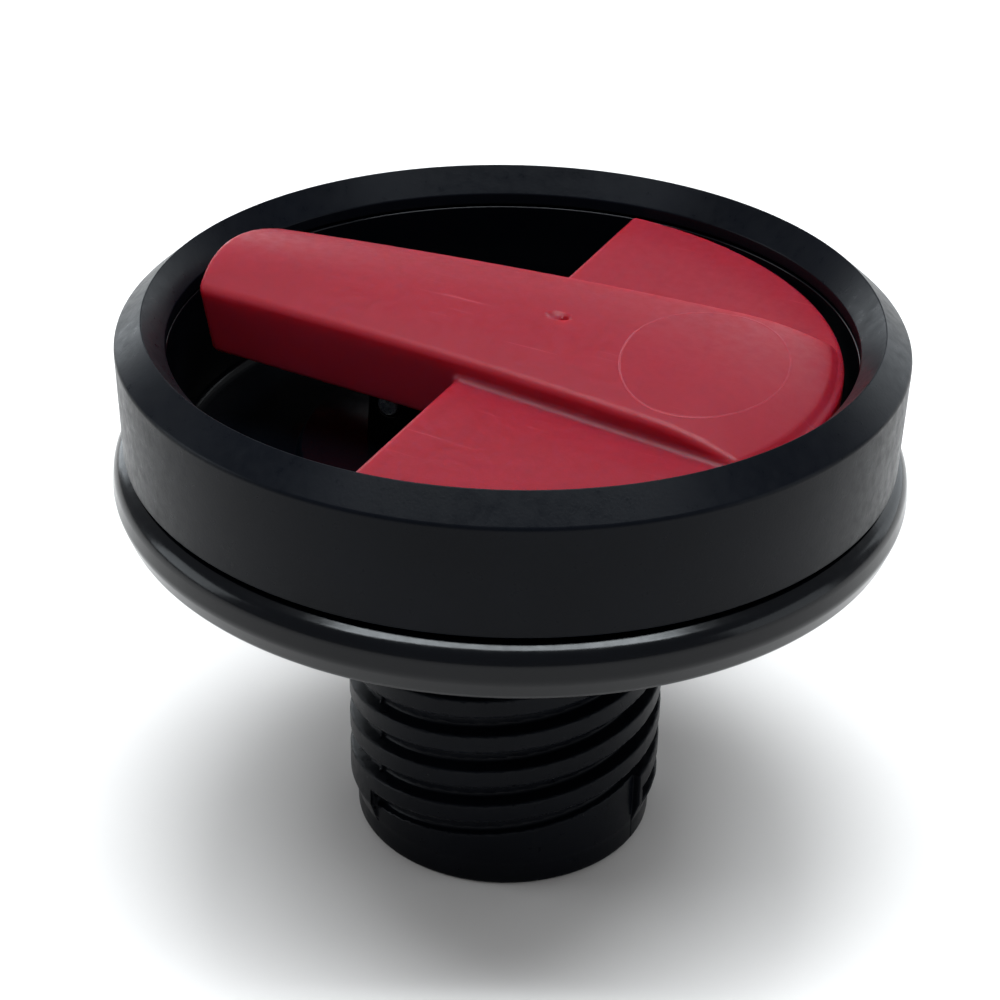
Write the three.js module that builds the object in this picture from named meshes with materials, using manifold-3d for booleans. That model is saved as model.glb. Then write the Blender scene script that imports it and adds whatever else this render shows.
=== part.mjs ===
// Screw-in pouring stopper of a vacuum flask, with a rocking thumb lever that opens a valve in its foot.
// Millimetres, +Z up. The origin is the centre of the stem's foot.
// +X runs from the lever's finger bar to its thumb plate.
import * as THREE from "three";
import { mergeVertices } from "three/addons/utils/BufferGeometryUtils.js";
import Module from "manifold-3d";

const wasm = await Module();
wasm.setup();

// ---- Driving dimensions ----
const gap = 0.3; // clearance between pieces that fit together
const ringSides = 48; // facets round a large turned piece
const stemSides = 36; // facets round the threaded stem
const smallSides = 24; // facets round a small turned piece
const degree = Math.PI / 180;

// Overall
const stemHeight = 44.5; // foot to the underside of the flange
const headHeight = 22.5; // underside of the flange to the crest of the rim
const collarRadius = 44; // grip wall
const threadRadius = 18.8; // over the thread's ridges

// Collar and flange
const collarWall = 1.8;
const rimInset = 3.2; // grip wall in to the crest of the rim
const rimChamfer = 2.3; // drop from the crest to the grip wall
const bevelWidth = 2.5; // crest of the rim in to the bowl's mouth
const bevelDrop = 2.9;
const lipHeight = 1.4;
const jointHeight = 1.1; // shadow gap between the flange and the grip wall
const snapDepth = 0.7;
const beadOverhang = 1; // the flange's bead stands this far outside the grip wall
const flangeHeight = 6.1;
const flangePlate = 1.6;
const flangeWall = 3.8;

// Bowl
const bowlWall = 1.6;
const floorRise = 4; // underside of the flange to the bowl's floor
const plateauRise = 1.5; // the middle of the floor stands this much higher, over the stem's collar
const rodBossHeight = 1.2;
const wiperDepth = 1.4; // the wiper's pocket goes this far below the plateau

// Stem and its thread
const spigotStep = 0.9; // thread ridge in to the spigot
const grooveDepth = 1.8;
const threadPitch = 4.9; // from one groove to the next
const threadStarts = 3;
const threadFirstHeight = 6.4; // groove centre where it starts
const threadTopDrop = 11.5; // underside of the flange to the thread's end
const threadStartAngle = -122.3; // degrees
const grooveShare = 0.5; // groove width as a share of the pitch
const partingRibAngle = -121.3; // degrees
const stemWall = 1.5; // under the thread's grooves
const stemCollarWidth = 3.4;
const stemCollarHeight = 1.7;
const windowDrop = 2.3; // underside of the flange to the top of the ports
const windowHeight = 6;
const windowWidth = 12;
const sealGrooveDepth = 1.2;
const ledgeHeight = 1.2;
const ledgeWidth = 1.3;

// Liner, foam sleeve and rod guide inside the stem
const foamThickness = 2.3;
const linerWall = 1.2;
const linerFlange = 1;
const linerLedge = 1.1;
const guideFoot = 22;
const guideHeight = 3;
const guideHubHeight = 4;
const guideRingWidth = 1.2;
const spokeWidth = 2;
const spokeCount = 3;

// Valve
const rodRadius = 2.5;
const rodFoot = 5.2;
const clipHeight = 0.6;
const discHeight = 2;
const sealHeight = 1.1;
const seatWidth = 3.4; // liner's bore in to the seat's hole
const seatHeight = 3.2;
const springWire = 0.45;
const springTurns = 6;
const springCapHeight = 2;
const wiperHeight = 1.4;
const retainerRim = 0.7;
const buttonHeight = 2.6;
const buttonEdgeDrop = 1.6;
const buttonPlay = 0.4; // the lever at rest stands this far off the button

// Neck gasket and stem seal ring
const gasketWidth = 6.4;
const gasketHeight = 1.6;
const sealRingWire = 0.45;

// Lever and its pivot
const plateClearance = 1.6; // between the lever's plate and the bowl
const plateDrop = 3.6; // plate's upper face below the crest of the rim, at the chord
const plateSlope = 2.3; // degrees, down towards the thumb end
const plateThickness = 2.4;
const plateLip = 1.9; // its straight edge stands this far beyond the middle, towards the finger end
const barHalfWidth = 12.4; // at the axis
const barTaper = 0.0887; // half width gained per millimetre towards the thumb end
const barDepth = 9; // crest of the rim to the bar's lower face
const barCrest = 0.18; // crest of the bar above the rim, at the axis
const barSlope = 0.0318;
const barBend = 0.0007;
const barCrown = 1.53; // rise of the crest over the bar's edges
const barCrownFade = 0.0138;
const thumbFallStart = 22;
const thumbFall = 3;
const leverWall = 2.2;
const dishX = 22.8;
const dishHalfLength = 8.6;
const dishHalfWidth = 12.5;
const dishDepth = 0.35;
const pivotX = -12;
const pivotDrop = 3; // bar's lower face to the pin's axis
const pinRadius = 1.3;
const pinOverhang = 0.4;
const knuckleRadius = 2.8;
const knuckleHalfWidth = 4;
const lugRadius = 2.6;
const lugWidth = 2.6;

// ---- Sizes that follow from them ----
const rimHeight = stemHeight + headHeight;
const rimRadius = collarRadius - rimInset;
const bowlRadius = rimRadius - bevelWidth;
const beadRadius = collarRadius + beadOverhang;
const flangeTop = stemHeight + flangeHeight;
const flangeInner = beadRadius - flangeWall;
const flangeFloor = stemHeight + flangePlate;
const collarFoot = flangeTop + jointHeight;
const bowlMouth = rimHeight - bevelDrop;
const lipFoot = bowlMouth - lipHeight;
const bowlWallRadius = bowlRadius + bowlWall;
const bowlFloor = stemHeight + floorRise;
const bowlUnderside = bowlFloor - bowlWall;
const plateauTop = bowlFloor + plateauRise;
const spigotRadius = threadRadius - spigotStep;
const grooveRadius = threadRadius - grooveDepth;
const stemBore = grooveRadius - stemWall;
const threadLead = threadPitch * threadStarts;
const threadTop = stemHeight - threadTopDrop;
const stemHole = threadRadius + gap;
const stemCollarRadius = threadRadius + stemCollarWidth;
const stemCollarFoot = flangeFloor + gap;
const stemTop = stemCollarFoot + stemCollarHeight;
const plateauRadius = stemCollarRadius + gap + bowlWall;
const windowTop = stemHeight - windowDrop;
const ledgeRadius = stemBore - ledgeWidth;
const sleeveRadius = stemBore - gap;
const linerOuter = sleeveRadius - foamThickness - gap;
const linerRadius = linerOuter - linerWall;
const linerTop = windowTop - windowHeight - 3 * gap;
const rodHole = rodRadius + gap;
const springRadius = rodHole + 2.4;
const springCapRadius = springRadius + 1.4;
const springCapFoot = windowTop - 0.2;
const guideHubRadius = springRadius + 1;
const wiperPocketRadius = rodHole + 3;
const wiperPocketFloor = plateauTop - wiperDepth;
const rodBossRadius = wiperPocketRadius + 2.4;
const buttonRadius = rodHole + 2.7;
const barFoot = rimHeight - barDepth;
const buttonTop = barFoot - buttonPlay;
const buttonFoot = buttonTop - buttonHeight;
const rodTop = buttonTop - buttonEdgeDrop;
const clipRadius = rodHole + 2.2;
const discFoot = rodFoot + 0.5 + clipHeight + gap;
const sealFoot = discFoot + discHeight + gap;
const seatFoot = sealFoot + sealHeight + gap;
const ledgeFoot = seatFoot + seatHeight + gap;
const seatHoleRadius = linerRadius - seatWidth;
const discRadius = seatHoleRadius + 3;
const sealRadius = discRadius + 0.5;
const gasketRadius = stemHole + gasketWidth;
const plateRadius = bowlRadius - plateClearance;
const barEndRadius = plateRadius - 0.5; // finger end of the bar, at the top
const barEndFootRadius = plateRadius - 2.4;
const pivotZ = barFoot - pivotDrop;
const lugInner = knuckleHalfWidth + 0.4;
const lugOuter = lugInner + lugWidth;

// ---- Materials ----
function plastic(color, roughness) {
  return new THREE.MeshStandardMaterial({ color, roughness, metalness: 0 });
}
function steel() {
  return new THREE.MeshStandardMaterial({ color: 0xb8babd, roughness: 0.3, metalness: 1 });
}
const satinBlack = plastic(0x15171b, 0.5);
const glossBlack = plastic(0x0c0d10, 0.22);
const leverRed = plastic(0x9c1a2a, 0.42);
const naturalPlastic = plastic(0xd9d8d0, 0.45);
const silicone = plastic(0xb9bcbc, 0.6);
const foam = plastic(0xf0efe9, 0.9);
const springSteel = steel();

// ---- Solids ----
function solidOf(geometry) {
  const bare = (geometry.index ? geometry.toNonIndexed() : geometry).clone();
  bare.deleteAttribute("normal");
  bare.deleteAttribute("uv");
  const merged = mergeVertices(bare, 1e-4);
  const corners = merged.index.array;
  const kept = [];
  for (let i = 0; i < corners.length; i += 3) {
    const [a, b, c] = corners.slice(i, i + 3);
    if (a !== b && b !== c && c !== a) kept.push(a, b, c);
  }
  const vertProperties = new Float32Array(merged.attributes.position.array);
  return new wasm.Manifold(new wasm.Mesh({ numProp: 3, vertProperties, triVerts: new Uint32Array(kept) }));
}

function geometryOf(solid) {
  const mesh = solid.getMesh();
  const geometry = new THREE.BufferGeometry();
  geometry.setAttribute("position", new THREE.BufferAttribute(new Float32Array(mesh.vertProperties), 3));
  geometry.setIndex(new THREE.BufferAttribute(new Uint32Array(mesh.triVerts), 1));
  geometry.computeVertexNormals();
  return geometry;
}

function piece(name, solid, material) {
  const made = new THREE.Mesh(geometryOf(solid), material);
  made.name = name;
  return made;
}

// A turned solid from a closed outline of [radius, height] points, in either order.
// phase turns its facets round the axis, in degrees.
function turned(outline, sides = ringSides, phase = 0) {
  let area = 0;
  outline.forEach(([r, z], i) => {
    const [nextR, nextZ] = outline[(i + 1) % outline.length];
    area += r * nextZ - nextR * z;
  });
  const ordered = area > 0 ? [...outline] : [...outline].reverse();
  ordered.push(ordered[0]);
  const points = ordered.map(([r, z]) => new THREE.Vector2(r, z));
  const made = new THREE.LatheGeometry(points, sides).rotateX(Math.PI / 2);
  return solidOf(made.rotateZ(phase * degree));
}

function ring(inner, outer, foot, top, sides = ringSides) {
  return turned([[inner, foot], [outer, foot], [outer, top], [inner, top]], sides);
}

function box(x0, x1, y0, y1, z0, z1) {
  const made = new THREE.BoxGeometry(x1 - x0, y1 - y0, z1 - z0);
  return solidOf(made.translate((x0 + x1) / 2, (y0 + y1) / 2, (z0 + z1) / 2));
}

function rod(radius, foot, top, sides = smallSides) {
  const made = new THREE.CylinderGeometry(radius, radius, top - foot, sides).rotateX(Math.PI / 2);
  return made.translate(0, 0, (foot + top) / 2);
}

// A cylinder lying along Y, centred on the lever's pivot.
function crossRod(radius, halfWidth, sides = smallSides) {
  const made = new THREE.CylinderGeometry(radius, radius, 2 * halfWidth, sides);
  return solidOf(made.translate(pivotX, 0, pivotZ));
}

// A closed solid from sections that each hold the same number of points, with flat ends.
function lofted(sections) {
  const count = sections[0].length;
  const position = sections.flat(2);
  const index = [];
  for (let s = 0; s + 1 < sections.length; s++) {
    for (let i = 0; i < count; i++) {
      const a = s * count + i;
      const b = s * count + ((i + 1) % count);
      index.push(a, b, b + count, a, b + count, a + count);
    }
  }
  const last = (sections.length - 1) * count;
  for (let i = 1; i + 1 < count; i++) {
    index.push(0, i + 1, i);
    index.push(last, last + i, last + i + 1);
  }
  const geometry = new THREE.BufferGeometry();
  geometry.setAttribute("position", new THREE.Float32BufferAttribute(position, 3));
  geometry.setIndex(index);
  const made = solidOf(geometry);
  return made.volume() > 0 ? made : solidOf(flipped(geometry));
}

function flipped(geometry) {
  const turnedOver = geometry.clone();
  const corners = turnedOver.index.array;
  for (let i = 0; i < corners.length; i += 3) [corners[i], corners[i + 1]] = [corners[i + 1], corners[i]];
  return turnedOver;
}

// A band swept round Z, one section to each facet of the stem, until it has passed endAngle.
// outline(angle) gives the section's [radius, height] points.
function sweptBand(startAngle, endAngle, outline) {
  const step = 360 / stemSides;
  const steps = Math.ceil((endAngle - startAngle) / step - 1e-6);
  const sections = [];
  for (let i = 0; i <= steps; i++) {
    const turn = startAngle + step * i;
    const c = Math.cos(turn * degree);
    const s = Math.sin(turn * degree);
    sections.push(outline(turn).map(([r, z]) => [r * c, r * s, z]));
  }
  return lofted(sections);
}

// ---- Collar, flange, bowl ----
function outerCollar() {
  const inner = collarRadius - collarWall;
  return turned([
    [collarRadius - 0.2, collarFoot],
    [collarRadius, collarFoot + 0.9],
    [collarRadius, rimHeight - rimChamfer - 0.4],
    [collarRadius - 0.25, rimHeight - rimChamfer],
    [rimRadius, rimHeight],
    [bowlRadius, bowlMouth],
    [bowlRadius, lipFoot],
    [inner - 0.8, lipFoot],
    [inner, lipFoot - 0.8],
    [inner, collarFoot + 1.1],
    [inner - snapDepth, collarFoot + 0.5],
    [inner - snapDepth, collarFoot],
  ]);
}

function flangeBody() {
  const crown = beadRadius - 0.6;
  return turned([
    [stemHole, stemHeight],
    [beadRadius - 1.8, stemHeight],
    [beadRadius - 0.8, stemHeight + 0.3],
    [beadRadius - 0.2, stemHeight + 1],
    [beadRadius, stemHeight + 1.9],
    [beadRadius - 0.2, flangeTop - 2.6],
    [crown, flangeTop - 1.2],
    [crown - 0.8, flangeTop - 0.3],
    [crown - 1.6, flangeTop],
    [flangeInner, flangeTop],
    [flangeInner, flangeFloor],
    [stemHole, flangeFloor],
  ]);
}

function bowl() {
  const skirt = flangeInner - gap;
  const ledge = collarRadius - collarWall - gap;
  const ledgeFootHeight = collarFoot + 1.1 + gap;
  const bossTop = plateauTop + rodBossHeight;
  const underBoss = wiperPocketFloor - bowlWall;
  const underPlateau = plateauTop - bowlWall;
  let made = turned([
    [rodHole, underBoss],
    [rodBossRadius - 0.6, underBoss],
    [rodBossRadius, underBoss + 0.6],
    [rodBossRadius, underPlateau],
    [plateauRadius - bowlWall, underPlateau],
    [plateauRadius - bowlWall, bowlUnderside],
    [skirt - 0.8, bowlUnderside],
    [skirt, bowlUnderside + 0.8],
    [skirt, ledgeFootHeight],
    [ledge, ledgeFootHeight],
    [ledge, ledgeFootHeight + 1.2],
    [bowlWallRadius, ledgeFootHeight + 1.2],
    [bowlWallRadius, lipFoot - gap],
    [bowlRadius, lipFoot - gap],
    [bowlRadius, bowlFloor + 1.2],
    [bowlRadius - 0.4, bowlFloor + 0.4],
    [bowlRadius - 1.2, bowlFloor],
    [plateauRadius + 0.4, bowlFloor],
    [plateauRadius, bowlFloor + 0.4],
    [plateauRadius, plateauTop],
    [rodBossRadius, plateauTop],
    [rodBossRadius, bossTop],
    [wiperPocketRadius, bossTop],
    [wiperPocketRadius, wiperPocketFloor],
    [rodHole, wiperPocketFloor],
  ]);
  for (const side of [-1, 1]) made = made.add(pivotLug(side));
  const pocket = solidOf(rod(wiperPocketRadius, wiperPocketFloor, pivotZ, ringSides));
  return made.subtract(pocket).subtract(crossRod(pinRadius + gap, lugOuter + 1));
}

// One of the pair of eyes moulded on the bowl's floor that carry the lever's pin.
function pivotLug(side) {
  const middle = (side * (lugInner + lugOuter)) / 2;
  const eye = new THREE.CylinderGeometry(lugRadius, lugRadius, lugWidth, smallSides);
  const post = box(
    pivotX - lugRadius, pivotX + lugRadius,
    middle - lugWidth / 2, middle + lugWidth / 2, plateauTop - 0.5, pivotZ,
  );
  return solidOf(eye.translate(pivotX, middle, pivotZ)).add(post);
}

// ---- Stem ----
function grooveHeight(startIndex, turn) {
  const start = threadStartAngle + (startIndex * 360) / threadStarts;
  return threadFirstHeight + (threadLead * (turn - start)) / 360;
}

function threadGroove(startIndex) {
  const start = threadStartAngle + (startIndex * 360) / threadStarts;
  const end = start + (360 * (threadTop - threadFirstHeight)) / threadLead;
  const mouth = (threadPitch * grooveShare) / 2;
  const floor = mouth - 0.2;
  return sweptBand(start, end, (turn) => {
    const z = grooveHeight(startIndex, turn);
    return [
      [grooveRadius, z - floor],
      [threadRadius + 0.5, z - mouth],
      [threadRadius + 0.5, z + mouth],
      [grooveRadius, z + floor],
    ];
  });
}

// Below the first groove the ridge is turned away to the spigot's own radius.
function spigotRelief() {
  const end = threadStartAngle + 360 / threadStarts;
  return sweptBand(threadStartAngle, end, (turn) => [
    [spigotRadius, 2],
    [threadRadius + 0.5, 2],
    [threadRadius + 0.5, grooveHeight(0, turn)],
    [spigotRadius, grooveHeight(0, turn)],
  ]);
}

function partingRib(angle) {
  const made = new THREE.BoxGeometry(1, 0.4, threadTop - 8);
  made.translate(grooveRadius, 0, (threadTop + 8) / 2);
  return solidOf(made.rotateZ(angle * degree));
}

function threadedStem() {
  const sealFootHeight = stemHeight + 0.2;
  const sealTopHeight = flangeFloor - 0.2;
  let made = turned([
    [stemBore, 0],
    [spigotRadius - 0.7, 0],
    [spigotRadius - 0.15, 0.25],
    [spigotRadius, 0.8],
    [spigotRadius, 3.2],
    [threadRadius, 5.6],
    [threadRadius, sealFootHeight],
    [threadRadius - sealGrooveDepth, sealFootHeight],
    [threadRadius - sealGrooveDepth, sealTopHeight],
    [threadRadius, sealTopHeight],
    [threadRadius, stemCollarFoot],
    [stemCollarRadius, stemCollarFoot],
    [stemCollarRadius, stemTop],
    [stemBore, stemTop],
    [stemBore, ledgeFoot + ledgeHeight],
    [ledgeRadius, ledgeFoot + ledgeHeight],
    [ledgeRadius, ledgeFoot],
    [stemBore, ledgeFoot],
  ], stemSides, threadStartAngle);
  for (let k = 0; k < threadStarts; k++) made = made.subtract(threadGroove(k));
  made = made.subtract(spigotRelief());
  made = made.add(partingRib(partingRibAngle)).add(partingRib(partingRibAngle + 180));
  const half = windowWidth / 2;
  const reach = threadRadius + 1;
  const windows = box(-reach, reach, -half, half, windowTop - windowHeight, windowTop);
  return made.subtract(windows);
}

function neckGasket() {
  return ring(stemHole, gasketRadius, stemHeight - gap - gasketHeight, stemHeight - gap);
}

function stemSealRing() {
  const centre = threadRadius - sealRingWire;
  const height = (stemHeight + flangeFloor) / 2;
  return solidOf(new THREE.TorusGeometry(centre, sealRingWire, 6, ringSides).translate(0, 0, height));
}

function valveSeat() {
  const top = seatFoot + seatHeight;
  return turned([
    [seatHoleRadius, top],
    [seatHoleRadius, seatFoot],
    [seatHoleRadius + 1.4, seatFoot],
    [seatHoleRadius + 1.9, seatFoot + 0.7],
    [sleeveRadius, seatFoot + 0.7],
    [sleeveRadius, top],
  ]);
}

function stemLiner() {
  const ledgeTop = guideFoot - gap;
  return turned([
    [linerRadius, ledgeFoot],
    [linerOuter, ledgeFoot],
    [linerOuter, linerTop - linerFlange],
    [sleeveRadius, linerTop - linerFlange],
    [sleeveRadius, linerTop],
    [linerRadius, linerTop],
    [linerRadius, ledgeTop],
    [linerRadius - linerLedge, ledgeTop],
    [linerRadius - linerLedge, ledgeTop - 1.2],
    [linerRadius, ledgeTop - 1.2],
  ]);
}

function foamSleeve() {
  return ring(linerOuter + gap, sleeveRadius, ledgeFoot + ledgeHeight + gap, linerTop - linerFlange - gap);
}

function rodGuide() {
  const outer = linerRadius - gap;
  const inner = outer - guideRingWidth;
  let made = ring(inner, outer, guideFoot, guideFoot + guideHeight, smallSides * 2);
  made = made.add(ring(rodHole, guideHubRadius, guideFoot, guideFoot + guideHubHeight, smallSides));
  for (let k = 0; k < spokeCount; k++) {
    const spoke = new THREE.BoxGeometry(inner - guideHubRadius + 1, spokeWidth, guideHeight - 0.5);
    spoke.translate((inner + guideHubRadius) / 2, 0, guideFoot + (guideHeight - 0.5) / 2);
    made = made.add(solidOf(spoke.rotateZ((k * 2 * Math.PI) / spokeCount)));
  }
  return made;
}

// ---- Valve ----
function valveRod() {
  return turned([
    [0, rodFoot],
    [rodRadius - 0.5, rodFoot],
    [rodRadius, rodFoot + 0.5],
    [rodRadius, rodTop - 0.5],
    [rodRadius - 0.5, rodTop],
    [0, rodTop],
  ], smallSides);
}

function discClip() {
  const foot = discFoot - gap - clipHeight;
  const whole = ring(rodHole, clipRadius, foot, foot + clipHeight, smallSides);
  return whole.subtract(box(0, clipRadius + 1, -1.2, 1.2, foot - 1, foot + clipHeight + 1));
}

function valveDisc() {
  return turned([
    [rodHole, discFoot],
    [discRadius - 0.6, discFoot],
    [discRadius, discFoot + 0.6],
    [discRadius, discFoot + discHeight],
    [rodHole, discFoot + discHeight],
  ]);
}

function valveSeal() {
  return ring(rodHole, sealRadius, sealFoot, sealFoot + sealHeight);
}

class SpringPath extends THREE.Curve {
  constructor(foot, top) {
    super();
    this.foot = foot;
    this.top = top;
  }
  getPoint(t, target = new THREE.Vector3()) {
    const turn = 2 * Math.PI * springTurns * t;
    const rise = this.foot + (this.top - this.foot) * t;
    return target.set(springRadius * Math.cos(turn), springRadius * Math.sin(turn), rise);
  }
}

function returnSpring() {
  const foot = guideFoot + guideHubHeight + gap + springWire;
  const top = springCapFoot - gap - springWire;
  const section = new THREE.Shape();
  section.absarc(0, 0, springWire, 0, 2 * Math.PI, false);
  const path = new SpringPath(foot, top);
  const options = { steps: springTurns * 16, curveSegments: 2, extrudePath: path, bevelEnabled: false };
  return solidOf(new THREE.ExtrudeGeometry(section, options));
}

function springCap() {
  return turned([
    [rodHole, springCapFoot],
    [springCapRadius, springCapFoot],
    [springCapRadius, springCapFoot + 0.8],
    [rodRadius + 1.8, springCapFoot + springCapHeight],
    [rodHole, springCapFoot + springCapHeight],
  ], smallSides);
}

function rodWiper() {
  const foot = wiperPocketFloor + gap;
  return ring(rodHole, wiperPocketRadius - gap, foot, foot + wiperHeight, smallSides);
}

function wiperRetainer() {
  const foot = wiperPocketFloor + wiperHeight + 2 * gap;
  const rimFoot = plateauTop + rodBossHeight + gap;
  const bore = rodHole + gap;
  return turned([
    [bore, foot],
    [wiperPocketRadius - gap, foot],
    [wiperPocketRadius - gap, rimFoot],
    [rodBossRadius - 0.4, rimFoot],
    [rodBossRadius - 0.4, rimFoot + retainerRim],
    [bore, rimFoot + retainerRim],
  ], smallSides);
}

function rodButton() {
  const shoulder = buttonTop - buttonEdgeDrop;
  return turned([
    [rodHole, buttonFoot],
    [buttonRadius, buttonFoot],
    [buttonRadius, shoulder],
    [buttonRadius * 0.8, shoulder + buttonEdgeDrop * 0.42],
    [buttonRadius * 0.5, shoulder + buttonEdgeDrop * 0.78],
    [buttonRadius * 0.2, buttonTop],
    [0, buttonTop],
    [0, rodTop + gap],
    [rodHole, rodTop + gap],
  ], smallSides);
}

// ---- Lever, bracket, pin, screws ----
function barWidthAt(x) {
  return barHalfWidth + barTaper * x;
}

function barCrestAt(x) {
  const fall = Math.max(0, (x - thumbFallStart) / (plateRadius - thumbFallStart));
  return rimHeight + barCrest - barSlope * x - barBend * x * x - thumbFall * fall * fall;
}

function barTopAt(x, share) {
  const crown = (barCrown - barCrownFade * x) * share * share;
  const y = share * barWidthAt(x);
  const reach = ((x - dishX) / dishHalfLength) ** 2 + (y / dishHalfWidth) ** 2;
  return barCrestAt(x) - crown - dishDepth * Math.max(0, 1 - reach);
}

function barFootAt(x) {
  return barFoot + Math.max(0, x - 10) * 0.1;
}

// The bar between two stations, with its sides and top drawn in by inset.
function barBody(fromX, toX, inset, floorShift, stations, columns) {
  const sections = [];
  for (let i = 0; i <= stations; i++) {
    const x = fromX + ((toX - fromX) * i) / stations;
    const half = barWidthAt(x) - inset;
    const section = [[x, -half, barFootAt(x) + floorShift], [x, half, barFootAt(x) + floorShift]];
    for (let j = 0; j <= columns; j++) {
      const share = 1 - (2 * j) / columns;
      section.push([x, share * half, barTopAt(x, share) - inset]);
    }
    sections.push(section);
  }
  return lofted(sections);
}

function leverPlate() {
  const half = new THREE.Shape();
  const turn = Math.asin(plateLip / plateRadius);
  half.absarc(0, 0, plateRadius, -Math.PI / 2 - turn, Math.PI / 2 + turn, false);
  half.closePath();
  const options = { depth: plateThickness, curveSegments: ringSides / 2, bevelEnabled: false };
  const made = new THREE.ExtrudeGeometry(half, options);
  made.translate(0, 0, -plateThickness).rotateY(plateSlope * degree);
  return solidOf(made.translate(0, 0, rimHeight - plateDrop));
}

function rockerLever() {
  const foot = barFoot - 1;
  const slope = (barEndRadius - barEndFootRadius) / (rimHeight - 1 - barFoot);
  const top = rimHeight + 2;
  const endCone = turned([
    [0, foot],
    [barEndFootRadius - slope, foot],
    [barEndFootRadius + slope * (top - barFoot), top],
    [0, top],
  ]);
  const bar = barBody(-plateRadius - 1, plateRadius - 0.5, 0, 0, 24, 10).intersect(endCone);
  const pocketEnd = pivotX - knuckleRadius - 1.4;
  const fingerPocket = barBody(leverWall - barEndFootRadius, pocketEnd, leverWall, -2, 6, 4);
  const thumbPocket = barBody(buttonRadius + 2, dishX + 3, leverWall, -2, 6, 4);
  const web = box(
    pivotX - knuckleRadius, pivotX + knuckleRadius,
    -knuckleHalfWidth, knuckleHalfWidth, pivotZ, barFoot + 1,
  );
  const knuckle = crossRod(knuckleRadius, knuckleHalfWidth).add(web);
  const bore = crossRod(pinRadius + gap, knuckleHalfWidth + 1);
  return bar.add(leverPlate()).subtract(fingerPocket).subtract(thumbPocket).add(knuckle).subtract(bore);
}

function pivotPin() {
  return crossRod(pinRadius, lugOuter + pinOverhang, 24);
}

const stopper = new THREE.Group();
stopper.add(
  piece("outer_collar", outerCollar(), satinBlack),
  piece("flange_body", flangeBody(), glossBlack),
  piece("bowl", bowl(), glossBlack),
  piece("threaded_stem", threadedStem(), satinBlack),
  piece("neck_gasket", neckGasket(), silicone),
  piece("stem_seal_ring", stemSealRing(), silicone),
  piece("valve_seat", valveSeat(), naturalPlastic),
  piece("stem_liner", stemLiner(), naturalPlastic),
  piece("foam_sleeve", foamSleeve(), foam),
  piece("rod_guide", rodGuide(), naturalPlastic),
  piece("valve_rod", valveRod(), naturalPlastic),
  piece("disc_clip", discClip(), springSteel),
  piece("valve_disc", valveDisc(), naturalPlastic),
  piece("valve_seal", valveSeal(), silicone),
  piece("return_spring", returnSpring(), springSteel),
  piece("spring_cap", springCap(), naturalPlastic),
  piece("rod_wiper", rodWiper(), silicone),
  piece("wiper_retainer", wiperRetainer(), satinBlack),
  piece("rod_button", rodButton(), naturalPlastic),
  piece("rocker_lever", rockerLever(), leverRed),
  piece("pivot_pin", pivotPin(), springSteel),
);

export default stopper;
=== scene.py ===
import bpy
import numpy as np
from mathutils import Matrix, Vector


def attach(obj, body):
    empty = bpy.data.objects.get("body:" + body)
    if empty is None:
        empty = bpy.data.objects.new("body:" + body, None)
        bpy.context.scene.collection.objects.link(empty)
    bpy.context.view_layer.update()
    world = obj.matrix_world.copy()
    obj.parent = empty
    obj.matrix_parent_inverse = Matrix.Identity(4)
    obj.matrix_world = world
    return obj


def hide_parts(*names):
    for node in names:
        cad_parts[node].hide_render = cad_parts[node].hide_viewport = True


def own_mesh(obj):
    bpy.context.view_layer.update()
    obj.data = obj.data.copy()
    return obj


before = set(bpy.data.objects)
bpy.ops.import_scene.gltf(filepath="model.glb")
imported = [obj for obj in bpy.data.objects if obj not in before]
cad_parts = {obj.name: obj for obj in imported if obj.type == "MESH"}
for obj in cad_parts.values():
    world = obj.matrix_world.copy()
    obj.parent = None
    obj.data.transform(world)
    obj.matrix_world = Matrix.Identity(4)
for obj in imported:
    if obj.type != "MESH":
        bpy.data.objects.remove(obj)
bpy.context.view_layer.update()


# ---------------------------------------------------------------------------
# Threaded stem: one moulding in satin black polypropylene. The three-start thread is coarse and cut in
# square grooves, the spigot below it guides the stopper into the neck, and two ports near its top let
# the drink out and the air in. A thin parting line of the mould runs up through the grooves.
# ---------------------------------------------------------------------------
def rounded_union(a, b, radius):
    """The nearer of two solids, with a fillet of that radius where they meet."""
    corner = np.hypot(np.maximum(radius - a, 0), np.maximum(radius - b, 0))
    return np.maximum(radius, np.minimum(a, b)) - corner


def rounded_cut(a, b, radius):
    """What two solids share, with its edge rounded to that radius."""
    return -rounded_union(-a, -b, radius)


def smooth_mesh(name, points, faces, normals):
    """A piece from points in millimetres, with the exact normals of its surface."""
    mesh = bpy.data.meshes.new(name)
    mesh.from_pydata((points * 0.001).tolist(), [], faces)
    mesh.polygons.foreach_set("use_smooth", np.ones(len(mesh.polygons), bool))
    mesh.normals_split_custom_set_from_vertices(normals.tolist())
    mesh.validate()
    piece = bpy.data.objects.new(name, mesh)
    bpy.context.scene.collection.objects.link(piece)
    return piece


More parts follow.
